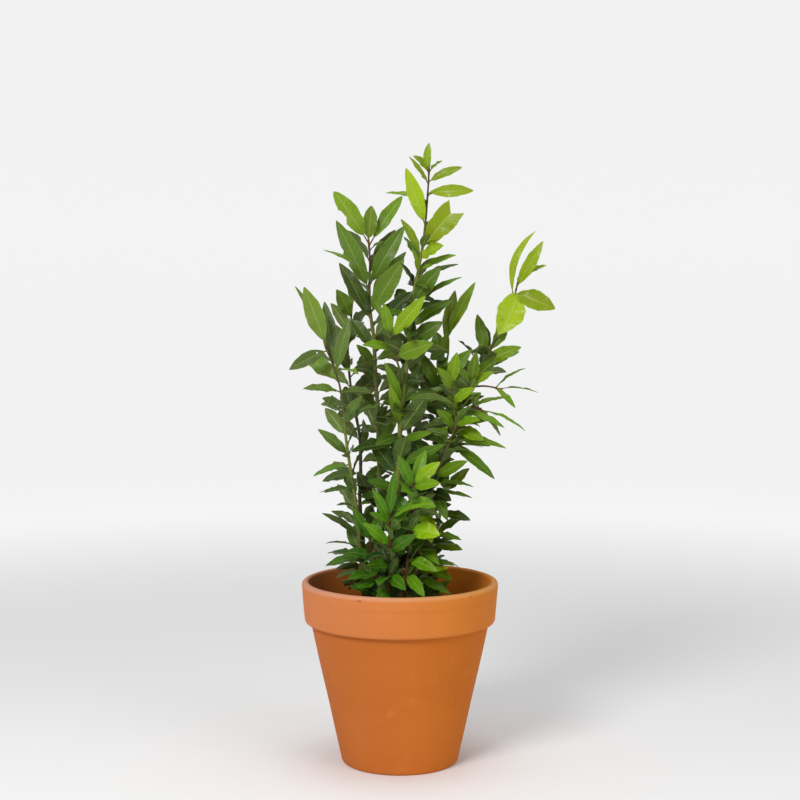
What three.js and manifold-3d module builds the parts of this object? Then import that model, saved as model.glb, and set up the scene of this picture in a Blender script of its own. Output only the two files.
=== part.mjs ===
import * as THREE from 'three';
import { mergeVertices } from 'three/addons/utils/BufferGeometryUtils.js';
import Module from 'manifold-3d';

// A young bay laurel with eleven leafy stems, growing in a terracotta pot.
// Millimetres, +Z up. The origin is the centre of the pot's foot, and -Y faces the viewer.

const wasm = await Module();
wasm.setup();

// Pot and soil

const POT_HEIGHT = 232.5;
const RIM_RADIUS = 125;
const BAND_HEIGHT = 52.5;
const BAND_FOOT_RADIUS = 121.6;
const BODY_TOP_RADIUS = 113.3;
const FOOT_RADIUS = 75;
const MOUTH_RADIUS = 116;
const FLOOR_RADIUS = 67;
const FLOOR_THICKNESS = 12;
const DRAIN_RADIUS = 6;
const DRAIN_CIRCLE = 42;
const DRAIN_COUNT = 3;
const SOIL_DEPTH_BELOW_RIM = 49.5;
const FIT_GAP = 0.35;
const ROUND_STEPS = 40;

// Leaves

const BLADE_THICKNESS = 1;
const PETIOLE_SHARE = 0.14;
const PETIOLE_HALF_WIDTH = 0.8;
const BLADE_STATIONS = [0, 0.24, 0.54, 0.82];
const SMALL_BLADE_STATIONS = [0, 0.34, 0.7];
const SMALL_BLADE_LENGTH = 52;
const BOW = 0.07;
const FOLD = 0.22;
const WAVE = 0.09;
const STEM_SIDES = 5;
const GOLDEN_ANGLE = THREE.MathUtils.degToRad(137.5);
const CLEAR_OF_OTHERS = 5;
const CLEAR_OF_OWN = 3;
const DEPTH_SHIFTS = [0, 9, -9, 18, -18, 27, -27, 36, -36, 45, -45];

// Each stem is a path of points with its radius at foot and tip.
// A leaf has its distance along the stem, its tip, its width, how far it faces the viewer, and the
// share of its length that is stalk, where that is long.
// fill adds leaves by rule between two distances: from, to, step, first length, last length.

const STEMS = {
  main: {
    radius: [3.5, 1.3],
    path: [
      [-33, 6, 150], [-33, 6, 190], [-30, 6, 237], [-30, 6, 276], [-26, 4, 324], [-27, 4, 398],
      [-28, 4, 449], [-31, 6, 487], [-33, 8, 537], [-38, 10, 575], [-39, 12, 601], [-38, 13, 633],
      [-40, 14, 667],
    ],
    leaves: [
      [515, [-36, 6, 707], 17, 0.9], [511, [-83, -4, 724], 19, 0.8, 0.28],
      [508, [3, 26, 720], 15, 0.7, 0.26], [501, [-21, -4, 662], 7, 0.5],
      [452, [-80, -8, 688], 23, 0.9], [411, [-78, 34, 636], 20, 0.6], [470, [-98, 24, 652], 9, 0.3],
      [479, [-6, 36, 678], 15, 0.6], [457, [6, 6, 682], 22, 0.8], [436, [8, 38, 650], 18, 0.5],
      [422, [5, -16, 640], 26, 0.9], [405, [16, 14, 597], 17, 0.6], [447, [-18, -18, 559], 9, 0.5],
    ],
    fill: [[62, 175, 12, 60, 60], [250, 500, 14, 64, 52]],
    shoots: [],
  },
  tall: {
    radius: [3.0, 1.1],
    path: [
      [-5, -12, 150], [-5, -12, 190], [-3, -14, 260], [-3, -19, 337], [-1, -23, 401], [1, -26, 443],
      [7, -30, 495], [12, -33, 545], [16, -35, 589], [22, -37, 621], [27, -39, 649], [31, -40, 680],
      [34, -41, 718], [36, -42, 753],
    ],
    leaves: [
      [601, [36, -44, 781], 9, 0.7], [599, [52, -46, 759], 7, 0.3], [596, [16, -36, 766], 9, 0.5],
      [585, [11, -48, 763], 9, 0.5], [533, [7, -50, 750], 19, 0.95], [587, [76, -44, 751], 12, 0.7],
      [573, [90, -52, 722], 16, 0.95], [562, [-18, -24, 721], 10, 0.4],
      [505, [78, -52, 697], 29, 0.95], [496, [1, -24, 689], 11, 0.5], [492, [53, -60, 655], 15, 0.6],
      [476, [69, -46, 644], 12, 0.5], [470, [15, -60, 651], 9, 0.5], [463, [73, -20, 633], 10, 0.4],
      [438, [50, -52, 629], 22, 0.8], [432, [77, -34, 617], 11, 0.4], [405, [66, -16, 589], 17, 0.6],
      [384, [53, -48, 562], 22, 0.8], [312, [59, -44, 481], 10, 0.7], [309, [-19, -46, 512], 12, 0.8],
      [283, [-13, -50, 484], 14, 0.8], [454, [-19, -22, 564], 17, 0.8], [262, [40, -48, 425], 11, 0.8],
      [229, [56, -64, 412], 14, 0.8, 0.24],
    ],
    fill: [[66, 196, 13, 58, 58], [206, 450, 13, 60, 60], [460, 580, 22, 46, 30]],
    shoots: [
      {
        radius: [1.5, 1.0],
        path: [
          [5, -29, 487], [-4, -38, 514], [-12, -46, 544],
        ],
        leaves: [
          [60, [31, -70, 594], 19, 1.0], [35, [41, -74, 537], 22, 1.0], [62, [-20, -58, 585], 14, 0.7],
          [44, [-46, -66, 534], 15, 0.6],
        ],
        fill: [],
      },
    ],
  },
  back_left: {
    radius: [2.6, 1.1],
    path: [
      [-41, 22, 150], [-41, 22, 190], [-48, 28, 282], [-52, 34, 330], [-51, 40, 369], [-52, 46, 408],
      [-58, 51, 443], [-64, 56, 475], [-68, 62, 522], [-65, 66, 549], [-62, 70, 584],
    ],
    leaves: [
      [420, [-82, 46, 602], 20, 0.8], [436, [-59, 84, 627], 16, 0.6], [385, [-46, 40, 560], 15, 0.6],
      [374, [-91, 78, 559], 15, 0.6], [348, [-83, 44, 530], 16, 0.6],
    ],
    fill: [[90, 425, 14, 56, 56]],
    shoots: [],
  },
  left: {
    radius: [2.4, 1.0],
    path: [
      [-45, -8, 150], [-45, -8, 190], [-49, -12, 260], [-54, -18, 321], [-60, -24, 363],
      [-67, -31, 412], [-70, -37, 449], [-75, -43, 484], [-85, -49, 515], [-92, -53, 536],
    ],
    leaves: [
      [391, [-117, -66, 605], 23, 0.95], [394, [-130, -38, 606], 9, 0.4],
      [384, [-135, -72, 504], 18, 0.8], [356, [-94, -26, 587], 19, 0.7],
      [353, [-62, -50, 567], 16, 0.7], [329, [-119, -60, 480], 14, 0.5],
      [247, [-102, -44, 429], 14, 0.7], [235, [-108, -42, 370], 11, 0.4],
      [204, [-94, -48, 350], 10, 0.4], [178, [-79, -44, 334], 9, 0.3], [141, [-98, -30, 322], 11, 0.5],
      [126, [-93, -36, 285], 9, 0.1], [306, [-96, -52, 468], 15, 0.6], [287, [-47, -58, 471], 15, 0.7],
    ],
    fill: [[104, 375, 14, 50, 54]],
    shoots: [],
  },
  right: {
    radius: [2.8, 1.1],
    path: [
      [6, 16, 150], [6, 16, 190], [12, 18, 258], [24, 21, 319], [37, 25, 377], [51, 29, 415],
      [74, 35, 456], [91, 39, 483], [111, 44, 515], [127, 48, 543], [139, 52, 569], [148, 55, 592],
      [153, 58, 614],
    ],
    leaves: [
      [473, [177, 68, 678], 11, 0.6], [487, [184, 44, 664], 16, 0.9], [495, [189, 54, 633], 8, 0.3],
      [480, [200, 42, 577], 26, 0.95, 0.09], [484, [126, 34, 544], 36, 1.0, 0.1],
      [388, [100, 54, 570], 16, 0.8], [397, [110, 66, 556], 10, 0.5], [379, [156, 34, 528], 18, 0.8],
      [347, [123, 24, 512], 20, 0.8], [362, [156, 62, 521], 14, 0.5], [326, [56, 48, 503], 16, 0.7],
      [304, [108, 20, 466], 14, 0.5],
    ],
    fill: [[64, 410, 14, 58, 58]],
    shoots: [
      {
        radius: [1.6, 1.0],
        path: [
          [47, 28, 405], [48, 22, 445], [49, 14, 488], [55, 10, 523], [60, 8, 545],
        ],
        leaves: [
          [129, [70, 16, 601], 17, 0.7], [138, [95, 4, 611], 15, 0.7], [82, [60, 0, 551], 15, 0.9],
          [75, [91, 8, 526], 19, 0.85], [69, [25, 4, 523], 16, 0.7], [43, [21, 26, 476], 14, 0.6],
        ],
        fill: [[20, 130, 14, 54, 48]],
      },
      {
        radius: [1.4, 1.0],
        path: [
          [87, 38, 476], [109, 32, 478], [127, 26, 475],
        ],
        leaves: [
          [37, [161, 26, 501], 9, 0.2], [42, [177, 20, 470], 8, 0.1], [37, [147, 14, 451], 9, 0.5],
        ],
        fill: [],
      },
    ],
  },
  bent: {
    radius: [2.6, 1.1],
    path: [
      [16, -18, 150], [16, -18, 190], [22, -22, 261], [32, -29, 326], [43, -35, 364], [57, -43, 404],
      [69, -49, 426], [75, -52, 441], [76, -55, 458], [82, -58, 472], [88, -61, 486],
    ],
    leaves: [
      [346, [115, -70, 501], 14, 0.5], [348, [93, -74, 526], 14, 0.7], [280, [111, -58, 409], 14, 0.6],
      [270, [117, -56, 368], 14, 0.6], [200, [90, -44, 343], 10, 0.3], [214, [92, -30, 355], 10, 0.3],
      [208, [59, -54, 316], 14, 0.8], [148, [77, -36, 289], 11, 0.5], [108, [68, -38, 257], 10, 0.4],
      [90, [63, -44, 222], 12, 0.6], [277, [129, -66, 409], 11, 0.5], [292, [103, -76, 418], 16, 0.9],
      [297, [106, -68, 441], 11, 0.6], [222, [83, -60, 391], 15, 0.8],
      [174, [39, -64, 290], 20, 1.0, 0.1], [94, [60, -50, 256], 9, 0.7],
      [131, [49, -62, 262], 12, 0.8],
    ],
    fill: [[60, 345, 14, 50, 52]],
    shoots: [
      {
        radius: [1.5, 1.0],
        path: [
          [51, -40, 390], [65, -58, 422], [69, -66, 440], [64, -73, 464], [62, -78, 488],
        ],
        leaves: [
          [108, [69, -86, 526], 15, 0.8], [101, [45, -90, 508], 14, 0.7],
          [84, [90, -92, 483], 14, 0.7], [54, [97, -88, 444], 14, 0.6], [50, [44, -82, 456], 14, 0.7],
        ],
        fill: [[20, 90, 16, 48, 44]],
      },
      {
        radius: [1.4, 1.0],
        path: [
          [76, -54, 452], [90, -60, 458], [103, -64, 453],
        ],
        leaves: [
          [27, [153, -72, 429], 9, 0.2], [1, [127, -82, 434], 11, 0.5], [21, [124, -52, 421], 10, 0.4],
          [8, [133, -58, 469], 10, 0.3],
        ],
        fill: [],
      },
    ],
  },
  front: {
    radius: [2.2, 1.1],
    path: [
      [-17, -38, 150], [-17, -38, 190], [-13, -43, 249], [-12, -50, 286], [-14, -57, 319],
    ],
    leaves: [
      [171, [-6, -66, 381], 12, 0.9], [166, [-34, -72, 359], 12, 0.7], [156, [18, -76, 345], 12, 0.7],
      [135, [-46, -72, 316], 15, 0.7], [128, [21, -84, 303], 16, 0.8], [109, [-41, -76, 263], 15, 0.6],
      [96, [7, -80, 234], 16, 0.8], [167, [38, -84, 345], 9, 0.5],
    ],
    fill: [[54, 165, 10, 52, 44]],
    shoots: [],
  },
  front_right: {
    radius: [2.2, 1.1],
    path: [
      [4, -38, 150], [4, -38, 190], [8, -44, 246], [13, -56, 305], [14, -64, 343], [16, -68, 365],
    ],
    leaves: [
      [217, [49, -78, 392], 16, 0.9], [217, [32, -60, 405], 14, 0.8], [213, [49, -88, 368], 15, 0.8],
      [211, [-2, -76, 400], 14, 0.8], [196, [44, -92, 337], 15, 0.8], [180, [-10, -84, 346], 15, 0.7],
      [157, [49, -80, 302], 16, 0.7], [133, [-12, -72, 268], 14, 0.8], [118, [46, -80, 257], 16, 0.7],
      [99, [30, -82, 226], 15, 0.8],
    ],
    fill: [[54, 205, 10, 52, 44]],
    shoots: [],
  },
  back: {
    radius: [2.4, 1.1],
    path: [
      [-10, 44, 150], [-10, 44, 190], [-7, 50, 249], [-1, 60, 314], [8, 70, 372], [14, 80, 424],
      [18, 90, 476], [19, 96, 506],
    ],
    leaves: [
      [313, [22, 40, 511], 14, 0.8],
    ],
    fill: [[58, 365, 12, 60, 50]],
    shoots: [],
  },
  low_left: {
    radius: [2.0, 1.1],
    path: [
      [-25, -24, 150], [-25, -24, 190], [-31, -32, 251], [-38, -42, 290],
    ],
    leaves: [
      [141, [-59, -52, 332], 14, 0.7], [137, [-23, -60, 324], 14, 0.8],
      [120, [-68, -50, 276], 15, 0.6], [106, [-16, -66, 252], 14, 0.7], [89, [-54, -56, 232], 15, 0.7],
    ],
    fill: [[54, 110, 10, 48, 44]],
    shoots: [],
  },
  low_right: {
    radius: [2.0, 1.1],
    path: [
      [26, 2, 150], [26, 2, 190], [39, 0, 258], [50, -2, 309], [59, -2, 348],
    ],
    leaves: [
      [199, [88, -6, 376], 14, 0.6], [199, [51, -14, 385], 14, 0.7], [171, [89, -16, 311], 14, 0.6],
      [128, [79, -20, 274], 14, 0.6], [95, [66, -22, 236], 14, 0.6], [106, [2, -48, 250], 14, 0.8],
    ],
    fill: [[54, 160, 11, 46, 46]],
    shoots: [],
  },
};

// Solids

const vector = (point) => new THREE.Vector3(...point);

function toSolid(geometry) {
  const bare = geometry.clone();
  bare.deleteAttribute('normal');
  bare.deleteAttribute('uv');
  const merged = mergeVertices(bare, 1e-4);
  const index = merged.index.array;
  const triangles = [];
  for (let i = 0; i < index.length; i += 3) {
    const [a, b, c] = [index[i], index[i + 1], index[i + 2]];
    if (a !== b && b !== c && c !== a) {
      triangles.push(a, b, c);
    }
  }
  return new wasm.Manifold(new wasm.Mesh({
    numProp: 3,
    vertProperties: new Float32Array(merged.attributes.position.array),
    triVerts: new Uint32Array(triangles),
  }));
}

// Keeps the outer surface of the largest body, so what the leaves close off between them is filled.
function wholeBody(solid) {
  return solid.decompose().reduce((a, b) => (b.volume() > a.volume() ? b : a));
}

function toGeometry(solid) {
  const mesh = solid.getMesh();
  const geometry = new THREE.BufferGeometry();
  geometry.setAttribute('position', new THREE.BufferAttribute(mesh.vertProperties, 3));
  geometry.setIndex(new THREE.BufferAttribute(mesh.triVerts, 1));
  geometry.computeVertexNormals();
  return geometry;
}

// Joins rings of points, each with the same count, between a first and a last point.
// Diagonals alternate, so that the two faces of a blade are split alike and never cross.
function skin(first, rings, last) {
  const sides = rings[0].length;
  const points = [first, ...rings.flat(), last];
  const end = points.length - 1;
  const index = [];
  for (let s = 0; s < sides; s += 1) {
    const next = (s + 1) % sides;
    index.push(0, 1 + next, 1 + s);
    for (let r = 0; r < rings.length - 1; r += 1) {
      const low = 1 + r * sides;
      const high = low + sides;
      if (s % 2 === 0) {
        index.push(low + s, low + next, high + next);
        index.push(low + s, high + next, high + s);
      } else {
        index.push(low + s, low + next, high + s);
        index.push(low + next, high + next, high + s);
      }
    }
    const top = 1 + (rings.length - 1) * sides;
    index.push(top + s, top + next, end);
  }
  const geometry = new THREE.BufferGeometry().setFromPoints(points);
  geometry.setIndex(index);
  return geometry;
}

// Pot and soil pieces

function arc(centreRadius, centreHeight, radius, fromDegrees, toDegrees, steps) {
  const points = [];
  for (let i = 0; i <= steps; i += 1) {
    const angle = THREE.MathUtils.degToRad(fromDegrees + (toDegrees - fromDegrees) * i / steps);
    const across = centreRadius + radius * Math.cos(angle);
    const height = centreHeight + radius * Math.sin(angle);
    points.push(new THREE.Vector2(across, height));
  }
  return points;
}

function turned(profile) {
  return new THREE.LatheGeometry(profile, ROUND_STEPS).rotateX(Math.PI / 2);
}

function innerRadius(height) {
  const share = (height - FLOOR_THICKNESS) / (POT_HEIGHT - FLOOR_THICKNESS);
  return FLOOR_RADIUS + (MOUTH_RADIUS - FLOOR_RADIUS) * share;
}

function potGeometry() {
  const bandFoot = POT_HEIGHT - BAND_HEIGHT;
  const profile = [
    new THREE.Vector2(0, 0),
    ...arc(FOOT_RADIUS - 4, 4, 4, -90, -12, 2),
    new THREE.Vector2(BODY_TOP_RADIUS, bandFoot - 2),
    ...arc(BAND_FOOT_RADIUS - 4, bandFoot + 4, 4, -90, 0, 2),
    ...arc(RIM_RADIUS - 4, POT_HEIGHT - 5, 4, 0, 60, 2),
    ...arc(MOUTH_RADIUS + 4, POT_HEIGHT - 4, 4, 90, 180, 2),
    new THREE.Vector2(innerRadius(FLOOR_THICKNESS), FLOOR_THICKNESS),
    new THREE.Vector2(0, FLOOR_THICKNESS),
  ];
  let pot = toSolid(turned(profile));
  for (let i = 0; i < DRAIN_COUNT; i += 1) {
    const angle = Math.PI / 2 + i * 2 * Math.PI / DRAIN_COUNT;
    const drain = new THREE.CylinderGeometry(DRAIN_RADIUS, DRAIN_RADIUS, 3 * FLOOR_THICKNESS, 12);
    drain.rotateX(Math.PI / 2);
    drain.translate(DRAIN_CIRCLE * Math.cos(angle), DRAIN_CIRCLE * Math.sin(angle), 0);
    pot = pot.subtract(toSolid(drain));
  }
  return toGeometry(pot);
}

const SOIL_TOP = POT_HEIGHT - SOIL_DEPTH_BELOW_RIM;

function soilGeometry(stems) {
  const bottom = FLOOR_THICKNESS + FIT_GAP;
  const edge = SOIL_TOP - 3;
  const profile = [
    new THREE.Vector2(0, bottom),
    new THREE.Vector2(innerRadius(bottom) - FIT_GAP, bottom),
    new THREE.Vector2(innerRadius(edge) - FIT_GAP, edge),
    new THREE.Vector2(75, SOIL_TOP - 1),
    new THREE.Vector2(40, SOIL_TOP + 1),
    new THREE.Vector2(0, SOIL_TOP),
  ];
  let soil = toSolid(turned(profile));
  for (const stem of stems) {
    const [foot, collar] = stem.path.map(vector);
    foot.z -= FIT_GAP;
    soil = soil.subtract(toSolid(rod([foot, collar], stem.radius[0] + FIT_GAP, stem.radius[0] + FIT_GAP)));
  }
  return toGeometry(soil);
}

// Stems

function rod(points, footRadius, tipRadius) {
  const rings = points.map((point, i) => {
    const before = points[Math.max(i - 1, 0)];
    const after = points[Math.min(i + 1, points.length - 1)];
    const along = after.clone().sub(before).normalize();
    const across = new THREE.Vector3(0, 1, 0).cross(along).normalize();
    const behind = along.clone().cross(across);
    const share = Math.max(i - 1, 0) / Math.max(points.length - 2, 1);
    const radius = footRadius + (tipRadius - footRadius) * share;
    return Array.from({ length: STEM_SIDES }, (_, s) => {
      const angle = 2 * Math.PI * s / STEM_SIDES;
      return point.clone()
        .addScaledVector(across, radius * Math.cos(angle))
        .addScaledVector(behind, radius * Math.sin(angle));
    });
  });
  const tip = points.at(-1).clone();
  tip.add(tip.clone().sub(points.at(-2)).setLength(tipRadius));
  return skin(points[0], rings, tip);
}

function pathLength(points) {
  return points.slice(1).reduce((sum, point, i) => sum + point.distanceTo(points[i]), 0);
}

function pointAlong(points, distance) {
  let left = distance;
  for (let i = 1; i < points.length; i += 1) {
    const step = points[i].distanceTo(points[i - 1]);
    if (left <= step || i === points.length - 1) {
      return points[i - 1].clone().lerp(points[i], Math.min(left / step, 1));
    }
    left -= step;
  }
  return points.at(-1).clone();
}

// Leaves

function makeLeaf(root, tip, width, faceTo, phase, petiole = PETIOLE_SHARE) {
  const axis = tip.clone().sub(root);
  const length = axis.length();
  axis.normalize();
  const normal = faceTo.clone().addScaledVector(axis, -faceTo.dot(axis)).normalize();
  const side = normal.clone().cross(axis);
  return { root, tip, length, width, phase, petiole, axis, normal, side };
}

function halfWidth(leaf, u) {
  if (u <= leaf.petiole) {
    return PETIOLE_HALF_WIDTH;
  }
  const v = (u - leaf.petiole) / (1 - leaf.petiole);
  const outline = Math.max(Math.sin(Math.PI * v ** 0.9), 0) ** 1.1;
  return Math.max(leaf.width / 2 * outline, PETIOLE_HALF_WIDTH * (1 - v));
}

// A point of the blade: u runs from root to tip, and w from one margin, -1, to the other, 1.
function bladePoint(leaf, u, w) {
  const half = halfWidth(leaf, u);
  const out = Math.abs(w);
  const turn = leaf.phase + 5 * Math.PI * u + (w > 0 ? 1.2 : 0);
  const wave = u > leaf.petiole ? WAVE * leaf.width * out * Math.sin(turn) : 0;
  const lift = BOW * leaf.length * 4 * u * (1 - u) + FOLD * out * half + wave * (1 - u);
  return leaf.root.clone()
    .addScaledVector(leaf.axis, leaf.length * u)
    .addScaledVector(leaf.side, w * half)
    .addScaledVector(leaf.normal, lift);
}

function bladeGeometry(leaf) {
  const stations = leaf.length < SMALL_BLADE_LENGTH ? SMALL_BLADE_STATIONS : BLADE_STATIONS;
  const rings = stations.map((share) => {
    const u = leaf.petiole + (1 - leaf.petiole) * share;
    const middle = bladePoint(leaf, u, 0);
    const top = middle.clone().addScaledVector(leaf.normal, BLADE_THICKNESS / 2);
    const below = middle.clone().addScaledVector(leaf.normal, -BLADE_THICKNESS / 2);
    return [bladePoint(leaf, u, 1), top, bladePoint(leaf, u, -1), below];
  });
  return skin(leaf.root, rings, leaf.tip);
}

const SAMPLES = [];
for (let i = 3; i <= 10; i += 1) {
  for (const w of i === 10 ? [0] : [-1, -0.5, 0, 0.5, 1]) {
    SAMPLES.push([i / 10, w]);
  }
}

function seededDraw(seed) {
  let state = seed;
  return () => {
    state = (state * 1664525 + 1013904223) % 4294967296;
    return state / 4294967296;
  };
}

// Places the leaves of every stem so that none meets another stem, leaf, the pot or the soil.
class Bush {
  constructor() {
    this.taken = [];
    this.leaves = {};
  }

  addStem(owner, points, footRadius) {
    const length = pathLength(points);
    for (let d = 0; d <= length; d += 8) {
      this.taken.push({ owner, wood: true, radius: footRadius, point: pointAlong(points, d) });
    }
  }

  isClear(owner, samples) {
    return samples.every((sample) => {
      if (sample.z < SOIL_TOP + 8) {
        return false;
      }
      if (sample.z < POT_HEIGHT + 4 && Math.hypot(sample.x, sample.y) > innerRadius(sample.z) - 6) {
        return false;
      }
      return this.taken.every((other) => {
        if (other.owner === owner && other.wood) {
          return true;
        }
        const room = (other.owner === owner ? CLEAR_OF_OWN : CLEAR_OF_OTHERS) + other.radius;
        return sample.distanceTo(other.point) >= room;
      });
    });
  }

  tryLeaf(owner, leaf) {
    const samples = SAMPLES.map(([u, w]) => bladePoint(leaf, u, w));
    if (!this.isClear(owner, samples)) {
      return false;
    }
    samples.forEach((point) => this.taken.push({ owner, wood: false, radius: 0, point }));
    this.leaves[owner].push(leaf);
    return true;
  }

  // A leaf seen from the front keeps its place in that view and is bent clear in depth.
  placeSeen(owner, points, [distance, tip, width, facing, petiole], phase) {
    const root = pointAlong(points, distance);
    const faceTo = new THREE.Vector3(0, -facing, 1 - 0.85 * facing);
    return DEPTH_SHIFTS.some((shift) => {
      const end = vector(tip).add(new THREE.Vector3(0, shift, 0));
      return this.tryLeaf(owner, makeLeaf(root, end, width, faceTo, phase, petiole));
    });
  }

  placeByRule(owner, points, [from, to, step, firstLength, lastLength], draw) {
    const count = Math.floor((to - from) / step) + 1;
    for (let i = 0; i < count; i += 1) {
      const share = count > 1 ? i / (count - 1) : 0;
      const root = pointAlong(points, from + step * i);
      const base = firstLength + (lastLength - firstLength) * share;
      let placed = false;
      for (let attempt = 0; attempt < 8 && !placed; attempt += 1) {
        const turn = i * GOLDEN_ANGLE + (draw() - 0.5) * (0.6 + attempt * 0.5);
        const rise = THREE.MathUtils.degToRad(-16 + 80 * draw());
        const length = base * (0.82 + 0.35 * draw()) * (1 - 0.04 * attempt);
        const width = length * (0.27 + 0.09 * draw());
        const roll = 2.6 * (draw() - 0.5);
        const phase = 2 * Math.PI * draw();
        const way = new THREE.Vector3(
          Math.cos(turn) * Math.cos(rise),
          Math.sin(turn) * Math.cos(rise),
          Math.sin(rise),
        );
        const tip = root.clone().addScaledVector(way, length);
        const faceTo = new THREE.Vector3(-Math.sin(turn) * roll, Math.cos(turn) * roll, 1);
        placed = this.tryLeaf(owner, makeLeaf(root, tip, width, faceTo, phase));
      }
    }
  }
}

function growBush() {
  const bush = new Bush();
  const limbs = [];
  Object.entries(STEMS).forEach(([owner, stem], s) => {
    bush.leaves[owner] = [];
    [stem, ...stem.shoots].forEach((limb, k) => {
      const points = limb.path.map(vector);
      bush.addStem(owner, points, limb.radius[0]);
      limbs.push({ owner, limb, points, seed: 1000 * (s + 1) + 100 * k + 7 });
    });
  });
  for (const { owner, limb, points } of limbs) {
    limb.leaves.forEach((spec, i) => bush.placeSeen(owner, points, spec, i * 1.7));
  }
  for (const { owner, limb, points, seed } of limbs) {
    const draw = seededDraw(seed);
    limb.fill.forEach((spec) => bush.placeByRule(owner, points, spec, draw));
  }
  return bush;
}

// Assembly

function mesh(name, geometry, color, roughness) {
  const material = new THREE.MeshStandardMaterial({ color, roughness, metalness: 0 });
  const piece = new THREE.Mesh(geometry, material);
  piece.name = name;
  return piece;
}

const bush = growBush();
const plant = new THREE.Group();
Object.entries(STEMS).forEach(([owner, stem]) => {
  let solid = toSolid(rod(stem.path.map(vector), ...stem.radius));
  for (const shoot of stem.shoots) {
    solid = solid.add(toSolid(rod(shoot.path.map(vector), ...shoot.radius)));
  }
  for (const leaf of bush.leaves[owner]) {
    solid = solid.add(toSolid(bladeGeometry(leaf)));
  }
  plant.add(mesh(`bay_stem_${owner}`, toGeometry(wholeBody(solid)), 0x4f8a26, 0.5));
});

const object = new THREE.Group();
object.name = 'potted_bay_laurel';
object.add(mesh('pot', potGeometry(), 0xc56a35, 0.85));
object.add(mesh('soil', soilGeometry(Object.values(STEMS)), 0x3a2a20, 0.95));
object.add(plant);

export default object;
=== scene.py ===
"""Looks of a young bay laurel with upright leafy stems, growing in a terracotta pot."""

import math

import bmesh
import bpy
import numpy as np
from mathutils import Matrix, Vector, noise


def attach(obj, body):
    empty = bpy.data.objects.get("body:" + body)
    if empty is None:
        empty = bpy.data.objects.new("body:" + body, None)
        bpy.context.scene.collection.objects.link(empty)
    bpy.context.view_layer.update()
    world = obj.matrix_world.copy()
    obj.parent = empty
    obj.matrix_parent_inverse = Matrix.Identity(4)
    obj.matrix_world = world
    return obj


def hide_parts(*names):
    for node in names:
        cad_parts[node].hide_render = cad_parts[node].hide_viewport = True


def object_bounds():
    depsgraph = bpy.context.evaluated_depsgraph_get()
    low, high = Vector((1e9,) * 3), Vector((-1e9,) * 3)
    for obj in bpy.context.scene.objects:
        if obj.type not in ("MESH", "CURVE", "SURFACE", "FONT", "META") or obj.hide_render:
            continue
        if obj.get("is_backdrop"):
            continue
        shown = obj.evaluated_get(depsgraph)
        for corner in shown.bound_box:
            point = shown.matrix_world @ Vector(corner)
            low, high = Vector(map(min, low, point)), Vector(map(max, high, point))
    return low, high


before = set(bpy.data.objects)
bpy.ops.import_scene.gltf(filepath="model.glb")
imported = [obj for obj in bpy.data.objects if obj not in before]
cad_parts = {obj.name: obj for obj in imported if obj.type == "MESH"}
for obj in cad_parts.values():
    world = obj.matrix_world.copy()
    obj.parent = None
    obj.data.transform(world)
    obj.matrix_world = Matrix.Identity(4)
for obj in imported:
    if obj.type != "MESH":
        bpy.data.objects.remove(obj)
cad_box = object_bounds()

# Sizes, in millimetres unless a name says otherwise

MM = 0.001
POT_HEIGHT = 232.5
RIM_RADIUS = 125
BAND_HEIGHT = 52.5
BAND_FOOT_RADIUS = 121.6
BODY_TOP_RADIUS = 113.3
FOOT_RADIUS = 75
MOUTH_RADIUS = 116
FLOOR_RADIUS = 67
FLOOR_THICKNESS = 12
DRAIN_RADIUS = 6
DRAIN_CIRCLE = 42
DRAIN_COUNT = 3
SOIL_TOP = POT_HEIGHT - 49.5

PETIOLE_SHARE = 0.14
PETIOLE_HALF_WIDTH = 0.8
BOW = 0.07
FOLD = 0.22
WAVE = 0.09
WAVE_TURN = 5 * np.pi
MARGIN_SHIFT = 1.2
GOLDEN_ANGLE = math.radians(137.5)
CLEAR_OF_OTHERS = 5
CLEAR_OF_OWN = 3
CLEAR_OF_SOIL = 8
CLEAR_OF_RIM = 4
CLEAR_OF_WALL = 6
THICKEST_STEM = 4
DEPTH_SHIFTS = (0, 9, -9, 18, -18, 27, -27, 36, -36, 45, -45)
STEM_FOOT = 150
STEM_POINT_STEP = 8
MOST_POINTS = 60000
ATTEMPTS = 8
LOWEST_RISE = -16
RISE_RANGE = 80

# The limbs: a stem's own comes first, and then its shoots. Each holds:
# radius, at its foot and at its tip, and path, the points that it runs through. A stem's own also
# runs through its foot, straight below the first point.
# bark, how green it is in its middle, and how red near its tip.
# leaves, the ones read from the photo: distance along the limb, tip, width, how far the leaf faces the
# viewer, and the share of its length that is stalk, where that is long.
# tones, how yellow and fresh each of these is, one digit each: 0 is old and dark, 9 is new.
# fill, leaves placed by rule: from, to, step, first length, last length. small, the same for the small
# leaves that only this file adds. fresh, how fresh these are at the limb's tip, from 0 to 1.

STEMS = {}


def limb_of(stem, path, fill=(), small=(), **others):
    if stem not in STEMS:
        path = [(*path[0][:2], STEM_FOOT), *path]
    points = [np.array(point, float) for point in path]
    STEMS.setdefault(stem, []).append(dict(path=points, fill=fill, small=small, **others))


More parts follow.
